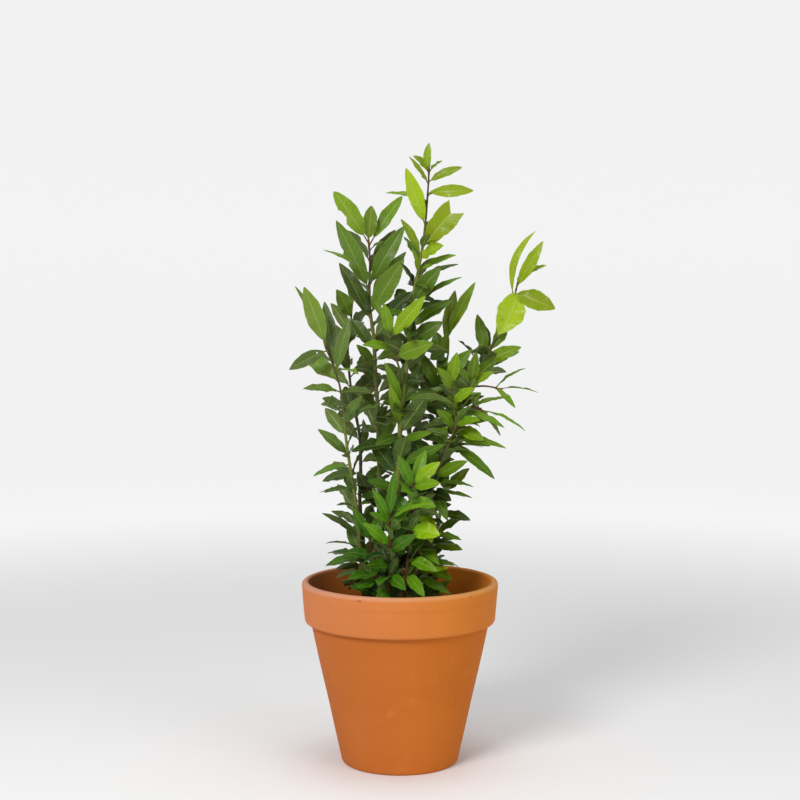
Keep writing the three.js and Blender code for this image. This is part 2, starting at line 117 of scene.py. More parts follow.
limb_of(
    "main", radius=(3.5, 1.3), bark=(0.75, 0.95), fresh=0.4, tones="5543314233415",
    path=[
        (-33, 6, 190), (-30, 6, 237), (-30, 6, 276), (-26, 4, 324), (-27, 4, 398), (-28, 4, 449),
        (-31, 6, 487), (-33, 8, 537), (-38, 10, 575), (-39, 12, 601), (-38, 13, 633), (-40, 14, 667),
    ],
    leaves=[
        (515, -36, 6, 707, 17, 0.9), (511, -83, -4, 724, 19, 0.8, 0.28),
        (508, 3, 26, 720, 15, 0.7, 0.26), (501, -21, -4, 662, 7, 0.5), (452, -80, -8, 688, 23, 0.9),
        (411, -78, 34, 636, 20, 0.6), (470, -98, 24, 652, 9, 0.3), (479, -6, 36, 678, 15, 0.6),
        (457, 6, 6, 682, 22, 0.8), (436, 8, 38, 650, 18, 0.5), (422, 5, -16, 640, 26, 0.9),
        (405, 16, 14, 597, 17, 0.6), (447, -18, -18, 559, 9, 0.5),
    ],
    fill=[(62, 175, 12, 60, 60), (250, 500, 14, 64, 52)],
    small=[(60, 215, 8, 42, 40), (260, 400, 10, 44, 38)],
)
limb_of(
    "tall", radius=(3, 1.1), bark=(1, 0.12), fresh=0.8, tones="657787858774633342345143",
    path=[
        (-5, -12, 190), (-3, -14, 260), (-3, -19, 337), (-1, -23, 401), (1, -26, 443), (7, -30, 495),
        (12, -33, 545), (16, -35, 589), (22, -37, 621), (27, -39, 649), (31, -40, 680), (34, -41, 718),
        (36, -42, 753),
    ],
    leaves=[
        (601, 36, -44, 781, 9, 0.7), (599, 52, -46, 759, 7, 0.3), (596, 16, -36, 766, 9, 0.5),
        (585, 11, -48, 763, 9, 0.5), (533, 7, -50, 750, 19, 0.95), (587, 76, -44, 751, 12, 0.7),
        (573, 90, -52, 722, 16, 0.95), (562, -18, -24, 721, 10, 0.4), (505, 78, -52, 697, 29, 0.95),
        (496, 1, -24, 689, 11, 0.5), (492, 53, -60, 655, 15, 0.6), (476, 69, -46, 644, 12, 0.5),
        (470, 15, -60, 651, 9, 0.5), (463, 73, -20, 633, 10, 0.4), (438, 50, -52, 629, 22, 0.8),
        (432, 77, -34, 617, 11, 0.4), (405, 66, -16, 589, 17, 0.6), (384, 53, -48, 562, 22, 0.8),
        (312, 59, -44, 481, 10, 0.7), (309, -19, -46, 512, 12, 0.8), (283, -13, -50, 484, 14, 0.8),
        (454, -19, -22, 564, 17, 0.8), (262, 40, -48, 425, 11, 0.8), (229, 56, -64, 412, 14, 0.8, 0.24),
    ],
    fill=[(66, 196, 13, 58, 58), (206, 450, 13, 60, 60), (460, 580, 22, 46, 30)],
    small=[(62, 205, 8, 42, 40), (212, 470, 8, 44, 40)],
)
limb_of(
    "tall", radius=(1.5, 1), bark=(0.6, 0.9), fresh=0.6, tones="6554",
    path=[(5, -29, 487), (-4, -38, 514), (-12, -46, 544)],
    leaves=[
        (60, 31, -70, 594, 19, 1), (35, 41, -74, 537, 22, 1), (62, -20, -58, 585, 14, 0.7),
        (44, -46, -66, 534, 15, 0.6),
    ],
)
limb_of(
    "back_left", radius=(2.6, 1.1), bark=(0.12, 0.1), fresh=0.25, tones="42112",
    path=[
        (-41, 22, 190), (-48, 28, 282), (-52, 34, 330), (-51, 40, 369), (-52, 46, 408), (-58, 51, 443),
        (-64, 56, 475), (-68, 62, 522), (-65, 66, 549), (-62, 70, 584),
    ],
    leaves=[
        (420, -82, 46, 602, 20, 0.8), (436, -59, 84, 627, 16, 0.6), (385, -46, 40, 560, 15, 0.6),
        (374, -91, 78, 559, 15, 0.6), (348, -83, 44, 530, 16, 0.6),
    ],
    fill=[(90, 425, 14, 56, 56)], small=[(60, 120, 9, 42, 38)],
)
limb_of(
    "left", radius=(2.4, 1), bark=(1, 0.2), fresh=0.4, tones="53212333111122",
    path=[
        (-45, -8, 190), (-49, -12, 260), (-54, -18, 321), (-60, -24, 363), (-67, -31, 412),
        (-70, -37, 449), (-75, -43, 484), (-85, -49, 515), (-92, -53, 536),
    ],
    leaves=[
        (391, -117, -66, 605, 23, 0.95), (394, -130, -38, 606, 9, 0.4), (384, -135, -72, 504, 18, 0.8),
        (356, -94, -26, 587, 19, 0.7), (353, -62, -50, 567, 16, 0.7), (329, -119, -60, 480, 14, 0.5),
        (247, -102, -44, 429, 14, 0.7), (235, -108, -42, 370, 11, 0.4), (204, -94, -48, 350, 10, 0.4),
        (178, -79, -44, 334, 9, 0.3), (141, -98, -30, 322, 11, 0.5), (126, -93, -36, 285, 9, 0.1),
        (306, -96, -52, 468, 15, 0.6), (287, -47, -58, 471, 15, 0.7),
    ],
    fill=[(104, 375, 14, 50, 54)], small=[(60, 110, 9, 40, 36)],
)
limb_of(
    "right", radius=(2.8, 1.1), bark=(0.25, 0.4), fresh=0.8, tones="888884253443",
    path=[
        (6, 16, 190), (12, 18, 258), (24, 21, 319), (37, 25, 377), (51, 29, 415), (74, 35, 456),
        (91, 39, 483), (111, 44, 515), (127, 48, 543), (139, 52, 569), (148, 55, 592), (153, 58, 614),
    ],
    leaves=[
        (473, 177, 68, 678, 11, 0.6), (487, 184, 44, 664, 16, 0.9), (495, 189, 54, 633, 8, 0.3),
        (480, 200, 42, 577, 26, 0.95, 0.09), (484, 126, 34, 544, 36, 1, 0.1),
        (388, 100, 54, 570, 16, 0.8), (397, 110, 66, 556, 10, 0.5), (379, 156, 34, 528, 18, 0.8),
        (347, 123, 24, 512, 20, 0.8), (362, 156, 62, 521, 14, 0.5), (326, 56, 48, 503, 16, 0.7),
        (304, 108, 20, 466, 14, 0.5),
    ],
    fill=[(64, 410, 14, 58, 58)], small=[(62, 420, 8, 42, 38)],
)
limb_of(
    "right", radius=(1.6, 1), bark=(0.7, 0.6), fresh=0.4, tones="555444",
    path=[(47, 28, 405), (48, 22, 445), (49, 14, 488), (55, 10, 523), (60, 8, 545)],
    leaves=[
        (129, 70, 16, 601, 17, 0.7), (138, 95, 4, 611, 15, 0.7), (82, 60, 0, 551, 15, 0.9),
        (75, 91, 8, 526, 19, 0.85), (69, 25, 4, 523, 16, 0.7), (43, 21, 26, 476, 14, 0.6),
    ],
    fill=[(20, 130, 14, 54, 48)], small=[(16, 120, 9, 40, 34)],
)
limb_of(
    "right", radius=(1.4, 1), bark=(0.3, 0.7), fresh=0.3, tones="434",
    path=[(87, 38, 476), (109, 32, 478), (127, 26, 475)],
    leaves=[(37, 161, 26, 501, 9, 0.2), (42, 177, 20, 470, 8, 0.1), (37, 147, 14, 451, 9, 0.5)],
)
limb_of(
    "bent", radius=(2.6, 1.1), bark=(0.35, 0.9), fresh=0.35, tones="54433434335544865",
    path=[
        (16, -18, 190), (22, -22, 261), (32, -29, 326), (43, -35, 364), (57, -43, 404), (69, -49, 426),
        (75, -52, 441), (76, -55, 458), (82, -58, 472), (88, -61, 486),
    ],
    leaves=[
        (346, 115, -70, 501, 14, 0.5), (348, 93, -74, 526, 14, 0.7), (280, 111, -58, 409, 14, 0.6),
        (270, 117, -56, 368, 14, 0.6), (200, 90, -44, 343, 10, 0.3), (214, 92, -30, 355, 10, 0.3),
        (208, 59, -54, 316, 14, 0.8), (148, 77, -36, 289, 11, 0.5), (108, 68, -38, 257, 10, 0.4),
        (90, 63, -44, 222, 12, 0.6), (277, 129, -66, 409, 11, 0.5), (292, 103, -76, 418, 16, 0.9),
        (297, 106, -68, 441, 11, 0.6), (222, 83, -60, 391, 15, 0.8), (174, 39, -64, 290, 20, 1, 0.1),
        (94, 60, -50, 256, 9, 0.7), (131, 49, -62, 262, 12, 0.8),
    ],
    fill=[(60, 345, 14, 50, 52)], small=[(58, 345, 7, 42, 36)],
)
limb_of(
    "bent", radius=(1.5, 1), bark=(0.5, 0.8), fresh=0.4, tones="55544",
    path=[(51, -40, 390), (65, -58, 422), (69, -66, 440), (64, -73, 464), (62, -78, 488)],
    leaves=[
        (108, 69, -86, 526, 15, 0.8), (101, 45, -90, 508, 14, 0.7), (84, 90, -92, 483, 14, 0.7),
        (54, 97, -88, 444, 14, 0.6), (50, 44, -82, 456, 14, 0.7),
    ],
    fill=[(20, 90, 16, 48, 44)], small=[(14, 90, 9, 38, 34)],
)
limb_of(
    "bent", radius=(1.4, 1), bark=(0.4, 0.9), fresh=0.3, tones="4444",
    path=[(76, -54, 452), (90, -60, 458), (103, -64, 453)],
    leaves=[
        (27, 153, -72, 429, 9, 0.2), (1, 127, -82, 434, 11, 0.5), (21, 124, -52, 421, 10, 0.4),
        (8, 133, -58, 469, 10, 0.3),
    ],
    small=[(6, 26, 6, 32, 28)],
)
limb_of(
    "front", radius=(2.2, 1.1), bark=(0.15, 1), fresh=0.35, tones="44453446",
    path=[(-17, -38, 190), (-13, -43, 249), (-12, -50, 286), (-14, -57, 319)],
    leaves=[
        (171, -6, -66, 381, 12, 0.9), (166, -34, -72, 359, 12, 0.7), (156, 18, -76, 345, 12, 0.7),
        (135, -46, -72, 316, 15, 0.7), (128, 21, -84, 303, 16, 0.8), (109, -41, -76, 263, 15, 0.6),
        (96, 7, -80, 234, 16, 0.8), (167, 38, -84, 345, 9, 0.5),
    ],
    fill=[(54, 165, 10, 52, 44)], small=[(52, 165, 6, 38, 34)],
)
limb_of(
    "front_right", radius=(2.2, 1.1), bark=(0.2, 1), fresh=0.45, tones="7453438455",
    path=[(4, -38, 190), (8, -44, 246), (13, -56, 305), (14, -64, 343), (16, -68, 365)],
    leaves=[
        (217, 49, -78, 392, 16, 0.9), (217, 32, -60, 405, 14, 0.8), (213, 49, -88, 368, 15, 0.8),
        (211, -2, -76, 400, 14, 0.8), (196, 44, -92, 337, 15, 0.8), (180, -10, -84, 346, 15, 0.7),
        (157, 49, -80, 302, 16, 0.7), (133, -12, -72, 268, 14, 0.8), (118, 46, -80, 257, 16, 0.7),
        (99, 30, -82, 226, 15, 0.8),
    ],
    fill=[(54, 205, 10, 52, 44)], small=[(52, 205, 6, 38, 34)],
)
limb_of(
    "back", radius=(2.4, 1.1), bark=(0.3, 0.3), fresh=0.3, tones="4",
    path=[
        (-10, 44, 190), (-7, 50, 249), (-1, 60, 314), (8, 70, 372), (14, 80, 424), (18, 90, 476),
        (19, 96, 506),
    ],
    leaves=[(313, 22, 40, 511, 14, 0.8)],
    fill=[(58, 365, 12, 60, 50)], small=[(56, 370, 8, 44, 40)],
)
limb_of(
    "low_left", radius=(2, 1.1), bark=(0.4, 0.5), fresh=0.35, tones="33233",
    path=[(-25, -24, 190), (-31, -32, 251), (-38, -42, 290)],
    leaves=[
        (141, -59, -52, 332, 14, 0.7), (137, -23, -60, 324, 14, 0.8), (120, -68, -50, 276, 15, 0.6),
        (106, -16, -66, 252, 14, 0.7), (89, -54, -56, 232, 15, 0.7),
    ],
    fill=[(54, 110, 10, 48, 44)], small=[(52, 112, 6, 38, 34)],
)
limb_of(
    "low_right", radius=(2, 1.1), bark=(0.4, 0.5), fresh=0.35, tones="432445",
    path=[(26, 2, 190), (39, 0, 258), (50, -2, 309), (59, -2, 348)],
    leaves=[
        (199, 88, -6, 376, 14, 0.6), (199, 51, -14, 385, 14, 0.7), (171, 89, -16, 311, 14, 0.6),
        (128, 79, -20, 274, 14, 0.6), (95, 66, -22, 236, 14, 0.6), (106, 2, -48, 250, 14, 0.8),
    ],
    fill=[(54, 160, 11, 46, 46)], small=[(52, 160, 6, 38, 34)],
)

SMALL_LEAF_EASE = 0.5
SMALL_LEAF_SEED = 57
RULE_LEAF_SEED = 7
FRESH_REACH = 150
INNER_FRESH = 0.15

# Bites out of a margin: stem, limb, leaf, then where, how far along and how deep, and which side
# Holes in a blade: stem, limb, leaf, then row, column and how many rows and columns

BITES = {
    ("main", 0, 1): ((0.5, 0.09, 0.42, 1), (0.62, 0.05, 0.3, 1)),
    ("main", 0, 4): ((0.45, 0.05, 0.35, 1), (0.6, 0.04, 0.25, 1)),
    ("left", 0, 13): ((0.6, 0.08, 0.4, -1),),
    ("bent", 0, 7): ((0.5, 0.06, 0.35, 1),),
}
HOLES = {
    ("left", 0, 2): ((8, 3, 1, 1),),
    ("right", 1, 2): ((12, 2, 3, 2),),
    ("front_right", 0, 8): ((15, 6, 1, 1),),
    ("left", 0, 12): ((9, 6, 2, 1),),
}

# Leaves unlike the others: wider, blunt, swayed to one side, with a moved tip, or torn off before it.
# blunt is the outline's power. torn holds the share of the blade that is left, and the tear's depth.

OWN_SHAPES = {
    ("main", 0, 0): {"wider": 1.1, "blunt": 0.6},
    ("main", 0, 1): {"wider": 1.25, "blunt": 0.6},
    ("main", 0, 2): {"wider": 1.15, "blunt": 0.65},
    ("tall", 0, 0): {"wider": 1.1, "sway": 2.5},
    ("tall", 0, 1): {"wider": 1.5, "sway": -2, "blunt": 0.65},
    ("tall", 0, 2): {"wider": 1.2, "sway": -3},
    ("tall", 0, 3): {"sway": 3},
    ("tall", 0, 5): {"blunt": 0.65},
    ("tall", 0, 8): {"wider": 1.05, "tip_shift": (-8, 0, 6), "torn": (0.7, 0.17)},
    ("tall", 0, 10): {"wider": 1.5},
    ("right", 0, 0): {"sway": 13, "wider": 0.9},
    ("right", 0, 2): {"wider": 2.1, "blunt": 0.65},
    ("right", 0, 4): {"sway": 5},
    ("front_right", 0, 6): {"wider": 1.5},
}
STALK_SHARE = 0.62
RULE_LEAF_WIDER = 1.15
BLUNT = 0.78
SMALL_BLUNT = 0.7

# How pale and dusty the leaves of a stem are

PALENESS = {"main": 0.3, "left": 0.5, "back_left": 0.35, "tall": 0.1, "right": 0.1}

# Placing of the leaves


def point_along(points, distance):
    """The point at a distance along the path, or its end if the path is shorter."""
    left = distance
    last = len(points) - 1
    for i in range(1, last + 1):
        step = math.dist(points[i], points[i - 1])
        if left <= step or i == last:
            share = min(left / step, 1)
            return points[i - 1] + (points[i] - points[i - 1]) * share
        left -= step


def unit(v):
    return v / np.linalg.norm(v)


def on_circle(radius, angle, height):
    return radius * math.cos(angle), radius * math.sin(angle), height


def make_leaf(root, tip, width, face_to, phase, petiole=PETIOLE_SHARE):
    axis = tip - root
    length = float(np.linalg.norm(axis))
    axis = axis / length
    normal = unit(face_to - axis * float(face_to @ axis))
    return dict(
        root=root, tip=tip, length=length, width=width, phase=phase, petiole=petiole,
        axis=axis, normal=normal, side=np.cross(normal, axis),
    )


def half_width(leaf, u):
    v = np.clip((u - leaf["petiole"]) / (1 - leaf["petiole"]), 0, 1)
    outline = np.maximum(np.sin(np.pi * v ** 0.9), 0) ** 1.1
    blade = np.maximum(leaf["width"] / 2 * outline, PETIOLE_HALF_WIDTH * (1 - v))
    return np.where(u <= leaf["petiole"], PETIOLE_HALF_WIDTH, blade)


def leaf_surface(leaf, u, w, half, fade, sway=0, extra=0):
    """Points of a blade: u runs from root to tip, and w from one margin, -1, to the other, 1."""
    out = np.abs(w)
    turn = leaf["phase"] + WAVE_TURN * u + np.where(w > 0, MARGIN_SHIFT, 0)
    wave = WAVE * leaf["width"] * out * np.sin(turn) * fade
    lift = BOW * leaf["length"] * 4 * u * (1 - u) + FOLD * out * half + wave * (1 - u) + extra
    aside = w * half + sway * 4 * u * (1 - u)
    return (
        leaf["root"]
        + np.multiply.outer(leaf["length"] * u, leaf["axis"])
        + np.multiply.outer(aside, leaf["side"])
        + np.multiply.outer(lift, leaf["normal"])
    )


# Where on a blade its gaps to the others are measured

SAMPLE_U, SAMPLE_W = np.array([
    (i / 10, w) for i in range(3, 11) for w in ((0,) if i == 10 else (-1, -0.5, 0, 0.5, 1))
]).T


def seeded_draw(state):
    def draw():
        nonlocal state
        state = (state * 1664525 + 1013904223) % 4294967296
        return state / 4294967296

    return draw


def inner_radius(height):
    share = (height - FLOOR_THICKNESS) / (POT_HEIGHT - FLOOR_THICKNESS)
    return FLOOR_RADIUS + (MOUTH_RADIUS - FLOOR_RADIUS) * share


class Bush:
    """Places the leaves of every stem so that none meets another stem, leaf, the pot or the soil."""

    def __init__(self):
        self.points = np.zeros((MOST_POINTS, 3))
        self.radii = np.zeros(MOST_POINTS)
        self.owners = np.zeros(MOST_POINTS, int)
        self.wood = np.zeros(MOST_POINTS, bool)
        self.count = 0
        self.leaves = {}
        self.ease = 1

    def take(self, owner, points, radius, wood):
        end = self.count + len(points)
        self.points[self.count:end] = points
        self.radii[self.count:end] = radius
        self.owners[self.count:end] = owner
        self.wood[self.count:end] = wood
        self.count = end

    def add_stem(self, owner, points, foot_radius):
        length = sum(math.dist(a, b) for a, b in zip(points, points[1:]))
        steps = int(length // STEM_POINT_STEP) + 1
        line = [point_along(points, STEM_POINT_STEP * i) for i in range(steps)]
        self.take(owner, line, foot_radius, True)

    def is_clear(self, owner, samples):
        if samples[:, 2].min() < SOIL_TOP + CLEAR_OF_SOIL:
            return False
        low = samples[:, 2] < POT_HEIGHT + CLEAR_OF_RIM
        across = np.hypot(samples[:, 0], samples[:, 1])
        if np.any(low & (across > inner_radius(samples[:, 2]) - CLEAR_OF_WALL)):
            return False
        taken = self.points[:self.count]
        reach = CLEAR_OF_OTHERS + THICKEST_STEM
        near = np.all(taken >= samples.min(axis=0) - reach, axis=1)
        near &= np.all(taken <= samples.max(axis=0) + reach, axis=1)
        near &= ~((self.owners[:self.count] == owner) & self.wood[:self.count])
        own = self.owners[:self.count][near] == owner
        room = np.where(own, CLEAR_OF_OWN, CLEAR_OF_OTHERS) * self.ease + self.radii[:self.count][near]
        gaps = np.linalg.norm(samples[:, None] - taken[near], axis=2)
        return bool(np.all(gaps >= room))

    def try_leaf(self, owner, leaf):
        half = half_width(leaf, SAMPLE_U)
        samples = leaf_surface(leaf, SAMPLE_U, SAMPLE_W, half, SAMPLE_U > leaf["petiole"])
        if not self.is_clear(owner, samples):
            return False
        self.take(owner, samples, 0, False)
        self.leaves[owner].append(leaf)
        return True

    def place_seen(self, owner, points, spec, phase):
        """A leaf seen from the front keeps its place in that view and is bent clear in depth."""
        distance, x, y, z, width, facing, *petiole = spec
        root = point_along(points, distance)
        face_to = np.array((0, -facing, 1 - 0.85 * facing))
        for shift in DEPTH_SHIFTS:
            tip = np.array((x, y + shift, z), float)
            if self.try_leaf(owner, make_leaf(root, tip, width, face_to, phase, *petiole)):
                return True
        return False

    def place_by_rule(self, owner, points, spec, draw):
        start, end, step, first_length, last_length = spec
        count = int((end - start) // step) + 1
        for i in range(count):
            share = i / (count - 1) if count > 1 else 0
            root = point_along(points, start + step * i)
            base = first_length + (last_length - first_length) * share
            for attempt in range(ATTEMPTS):
                turn = i * GOLDEN_ANGLE + (draw() - 0.5) * (0.6 + attempt * 0.5)
                rise = math.radians(LOWEST_RISE + RISE_RANGE * draw())
                length = base * (0.82 + 0.35 * draw()) * (1 - 0.04 * attempt)
                width = length * (0.27 + 0.09 * draw())
                roll = 2.6 * (draw() - 0.5)
                phase = 2 * math.pi * draw()
                way = np.array(on_circle(math.cos(rise), turn, math.sin(rise)))
                face_to = np.array((-math.sin(turn) * roll, math.cos(turn) * roll, 1))
                if self.try_leaf(owner, make_leaf(root, root + way * length, width, face_to, phase)):
                    break


def grow_bush():
    """The leaves of each stem, each with its limb and how far it stands from that limb's tip."""
    bush = Bush()
    limbs = []
    for s, stem in enumerate(STEMS.values()):
        bush.leaves[s] = []
        for k, limb in enumerate(stem):
            bush.add_stem(s, limb["path"], limb["radius"][0])
            limbs.append((s, k, limb))

    for s, k, limb in limbs:
        for i, spec in enumerate(limb["leaves"]):
            if bush.place_seen(s, limb["path"], spec, i * 1.7):
                bush.leaves[s][-1].update(limb=k, seen=i, small=False)
    for kind, ease, seed in (("fill", 1, RULE_LEAF_SEED), ("small", SMALL_LEAF_EASE, SMALL_LEAF_SEED)):
        bush.ease = ease
        for s, k, limb in limbs:
            draw = seeded_draw(1000 * (s + 1) + 100 * k + seed)
            for spec in limb[kind]:
                bush.place_by_rule(s, limb["path"], spec, draw)
            for leaf in bush.leaves[s]:
                if "limb" not in leaf:
                    from_tip = float(np.linalg.norm(leaf["root"] - limb["path"][-1]))
                    leaf.update(limb=k, seen=None, small=kind == "small", from_tip=from_tip)
    return {name: bush.leaves[s] for s, name in enumerate(STEMS)}


# Meshes


def add_object(name, data):
    made = bpy.data.objects.new(name, data)
    bpy.context.collection.objects.link(made)
    return made


def ring_faces(rings, sides, first=0, outward=True):
    """Faces between rings of points, each of as many sides, from the point numbered first on."""
    faces = []
    for r in range(rings - 1):
        low = first + r * sides
        for s in range(sides):
            n = (s + 1) % sides
            face = (low + s, low + n, low + n + sides, low + s + sides)
            faces.append(face if outward else (face[0], *face[:0:-1]))
    return faces


def new_mesh_object(name, points, faces, tint=None, uv=None, sharp=60):
    """A mesh object from points in millimetres. tint and uv hold one row for each point."""
    mesh = bpy.data.meshes.new(name)
    mesh.from_pydata([tuple(p) for p in np.asarray(points) * MM], [], faces)
    mesh.update()
    if tint is not None:
        layer = mesh.attributes.new("tint", "FLOAT_COLOR", "POINT")
        layer.data.foreach_set("color", np.asarray(tint, np.float32).ravel())
        layer = mesh.uv_layers.new(name="blade")
        corners = np.empty(len(mesh.loops), np.int32)
        mesh.loops.foreach_get("vertex_index", corners)
        layer.data.foreach_set("uv", np.asarray(uv, np.float32)[corners].ravel())
    mesh.shade_smooth()
    mesh.set_sharp_from_angle(angle=math.radians(sharp))
    return add_object(name, mesh)


class Parts:
    """Gathers points, faces, colours and uv of many small shapes into one mesh."""

    def __init__(self):
        self.points = []
        self.faces = []
        self.colours = []
        self.uv = []
        self.count = 0

    def add(self, points, faces, colours, uv=None):
        self.points.append(points)
        self.faces.extend(tuple(i + self.count for i in f) for f in faces)
        self.colours.append(colours)
        self.uv.append(np.zeros((len(points), 2)) if uv is None else uv)
        self.count += len(points)

    def build(self, name, sharp=60):
        points, colours, uv = map(np.concatenate, (self.points, self.colours, self.uv))
        return new_mesh_object(name, points, self.faces, colours, uv, sharp)


# Leaves

BLADE_GRID = (30, 10)
SMALL_BLADE_GRID = (18, 6)
BLADE_HALF_THICKNESS = 0.2
RIB_HALF_WIDTH = 0.7
RIPPLE = 0.06
CURL = 0.07
WAVE_FADE = 0.12


def blade_faces(rows, columns, holes):
    """Faces of a closed blade: upper grid, lower grid, the rim between them and the holes' walls."""
    across = columns + 1
    lower = rows * across
    open_cells = {
        (r, c)
        for row, column, high, wide in holes
        for r in range(row, row + high)
        for c in range(column, column + wide)
    }
    faces = []
    walls = {}

    def wall(a, b):
        """A wall below the edge from a to b, which two cells on both sides cancel."""
        if (b, a) in walls:
            del walls[b, a]
        else:
            walls[a, b] = (b, a, lower + a, lower + b)

    for r in range(rows - 1):
        for c in range(columns):
            if (r, c) in open_cells:
                continue
            a = r * across + c
            corners = (a, a + across, a + across + 1, a + 1)
            faces.append(corners)
            faces.append(tuple(lower + i for i in corners[::-1]))
            for i in range(4):
                wall(corners[i], corners[(i + 1) % 4])
    return faces + list(walls.values())


def soft_noise(along, seed):
    """Smooth uneven waves along a margin, between about -1 and 1."""
    turn = 2 * np.pi * along
    return (
        np.sin(2.3 * turn + 5.1 * seed)
        + 0.8 * np.sin(4.1 * turn + 2.7 * seed + 1)
        + 0.55 * np.sin(7.3 * turn + 3.9 * seed + 2)
    ) / 1.8


def leaf_point(leaf, u, w, half, extra):
    """Points of a blade with waves that fade in from the stalk, and with the leaf's own sway."""
    fade = np.clip((u - leaf["stalk"]) / WAVE_FADE, 0, 1)
    return leaf_surface(leaf, u, w, half, fade, leaf["sway"], extra)


def full_half_width(leaf, u):
    """A fuller outline than the plain one, with the same length and greatest width."""
    v = np.clip((u - leaf["stalk"]) / (1 - leaf["stalk"]), 0, 1)
    outline = np.maximum(np.sin(np.pi * v ** 0.92), 0) ** leaf["blunt"]
    return np.maximum(leaf["width"] / 2 * outline, 0.12)


def add_blade(parts, leaf, fresh, chance, pale, bites, holes):
    stalk = leaf["stalk"]
    keep, tear = leaf["torn"]
    rows, columns = SMALL_BLADE_GRID if leaf["small"] else BLADE_GRID
    share = np.linspace(0, 1, rows)
    u = stalk - 0.02 + (1.02 - stalk) * (0.5 - 0.5 * np.cos(np.pi * share)) ** 0.96
    even = np.linspace(-1, 1, columns + 1)
    w = np.sin(even * np.pi / 2) * 0.35 + even * 0.65
    uu, ww = (grid.ravel() for grid in np.meshgrid(u, w, indexing="ij"))
    v = np.clip((uu - stalk) / (1 - stalk), 0, 1)
    out = np.abs(ww)
    ripple = soft_noise(v, leaf["phase"] + np.sign(ww) * 1.7) * np.sin(np.pi * v) ** 0.7
    half = full_half_width(leaf, stalk + (uu - stalk) * keep) * (1 + RIPPLE * ripple * out)
    for centre, reach, depth, sign in bites:
        bite = np.exp(-((v - centre) / reach) ** 4) * depth
        half = np.where(np.sign(ww) == sign, half * (1 - bite), half)
    uneven = soft_noise(v + 0.13, leaf["phase"] + np.sign(ww) * 2.3)
    curl = CURL * leaf["width"] * uneven * out ** 2 * np.sin(np.pi * v)
    rib = np.exp(-(ww * half / RIB_HALF_WIDTH) ** 2)
    uu = uu - tear * (1 - out) * v ** 6
    upper = leaf_point(leaf, uu, ww, half, curl + BLADE_HALF_THICKNESS - 0.12 * rib)
    lower = leaf_point(leaf, uu, ww, half, curl - BLADE_HALF_THICKNESS - 0.38 * rib * (1 - v))
    uv = np.stack([v, ww / 2 + 0.5], axis=1)
    colours = np.tile((fresh, chance, 0, pale), (2 * len(uu), 1))
    colours[:len(uu), 2] = 1
    faces = blade_faces(rows, columns, holes)
    parts.add(np.concatenate([upper, lower]), faces, colours, np.concatenate([uv, uv]))


def tube_rings(points, radii, sides):
    """Rings round a line of points, and the faces between them with both ends closed."""
    count = len(points)
    rings = []
    for i, point in enumerate(points):
        along = unit(points[min(i + 1, count - 1)] - points[max(i - 1, 0)])
        across = unit(np.cross((0, 1, 0.001), along))
        behind = np.cross(along, across)
        angle = 2 * np.pi * np.arange(sides) / sides
        ring = np.multiply.outer(np.cos(angle), across) + np.multiply.outer(np.sin(angle), behind)
        rings.append(point + ring * radii[i])
    faces = ring_faces(count, sides)
    faces.append(tuple(range(sides))[::-1])
    faces.append(tuple((count - 1) * sides + s for s in range(sides)))
    return np.concatenate(rings), faces


def flat_colour(count, red, green, blue):
    return np.tile((red, green, blue, 1), (count, 1))


def add_petiole(parts, leaf, green, red):
    end = leaf["stalk"] + 0.09
    u = np.linspace(0, end, 7)
    line = leaf_point(leaf, u, np.zeros_like(u), 0, -0.25)
    radii = np.interp(u, (0, leaf["stalk"], end), (1.15, 0.8, 0.3))
    points, faces = tube_rings(line, radii, 7)
    parts.add(points, faces, flat_colour(len(points), green, red, 0.5))


# Stems

STEM_SIDES = 12
NODE_SWELL = 0.16
NODE_REACH = 3.2
YOUNG_REACH = 130
SHOOT_YOUNG_REACH = 45


def smooth_line(points, step=4):
    """A smooth curve through the points, sampled about every step millimetres."""
    line = []
    for i in range(len(points) - 1):
        before = points[max(i - 1, 0)]
        a, b = points[i], points[i + 1]
        after = points[min(i + 2, len(points) - 1)]
        count = max(int(math.dist(a, b) / step), 2)
        for t in np.arange(count) / count:
            line.append(0.5 * (
                2 * a + (b - before) * t
                + (2 * before - 5 * a + 4 * b - after) * t ** 2
                + (3 * a - before - 3 * b + after) * t ** 3
            ))
    line.append(points[-1])
    return np.array(line)


def add_limb(parts, limb, leaves, is_shoot):
    points = limb["path"]
    green_share, red_share = limb["bark"]
    line = smooth_line(points)
    run = np.concatenate([[0], np.cumsum(np.linalg.norm(np.diff(line, axis=0), axis=1))])
    knots = np.concatenate([[0], np.cumsum([math.dist(a, b) for a, b in zip(points, points[1:])])])
    share = np.maximum(np.interp(run, knots, np.arange(len(points))) - 1, 0) / max(len(points) - 2, 1)
    first, last = limb["radius"]
    radii = first + (last - first) * share
    for leaf in leaves:
        gaps = np.linalg.norm(line - leaf["root"], axis=1)
        radii = radii * (1 + NODE_SWELL * np.exp(-(gaps / NODE_REACH) ** 2))
    from_tip = run[-1] - run
    radii = radii * np.clip(0.35 + from_tip / 5, 0, 1)
    radii = radii * (1 - 0.18 * np.clip(1 - from_tip / YOUNG_REACH, 0, 1))
    ring_points, faces = tube_rings(line, radii, STEM_SIDES)
    height = line[:, 2]
    young = np.clip(1 - from_tip / (SHOOT_YOUNG_REACH if is_shoot else YOUNG_REACH), 0, 1)
    green = green_share * (1 - young) * np.clip((height - 245) / 70, 0, 1)
    red = np.maximum(red_share * young, 0.75 * np.clip((300 - height) / 60, 0, 1))
    colours = np.stack([green, red, young, np.ones(len(line))], axis=1)
    parts.add(ring_points, faces, np.repeat(colours, STEM_SIDES, axis=0))
    add_bud(parts, line[-1], unit(line[-1] - line[-3]))


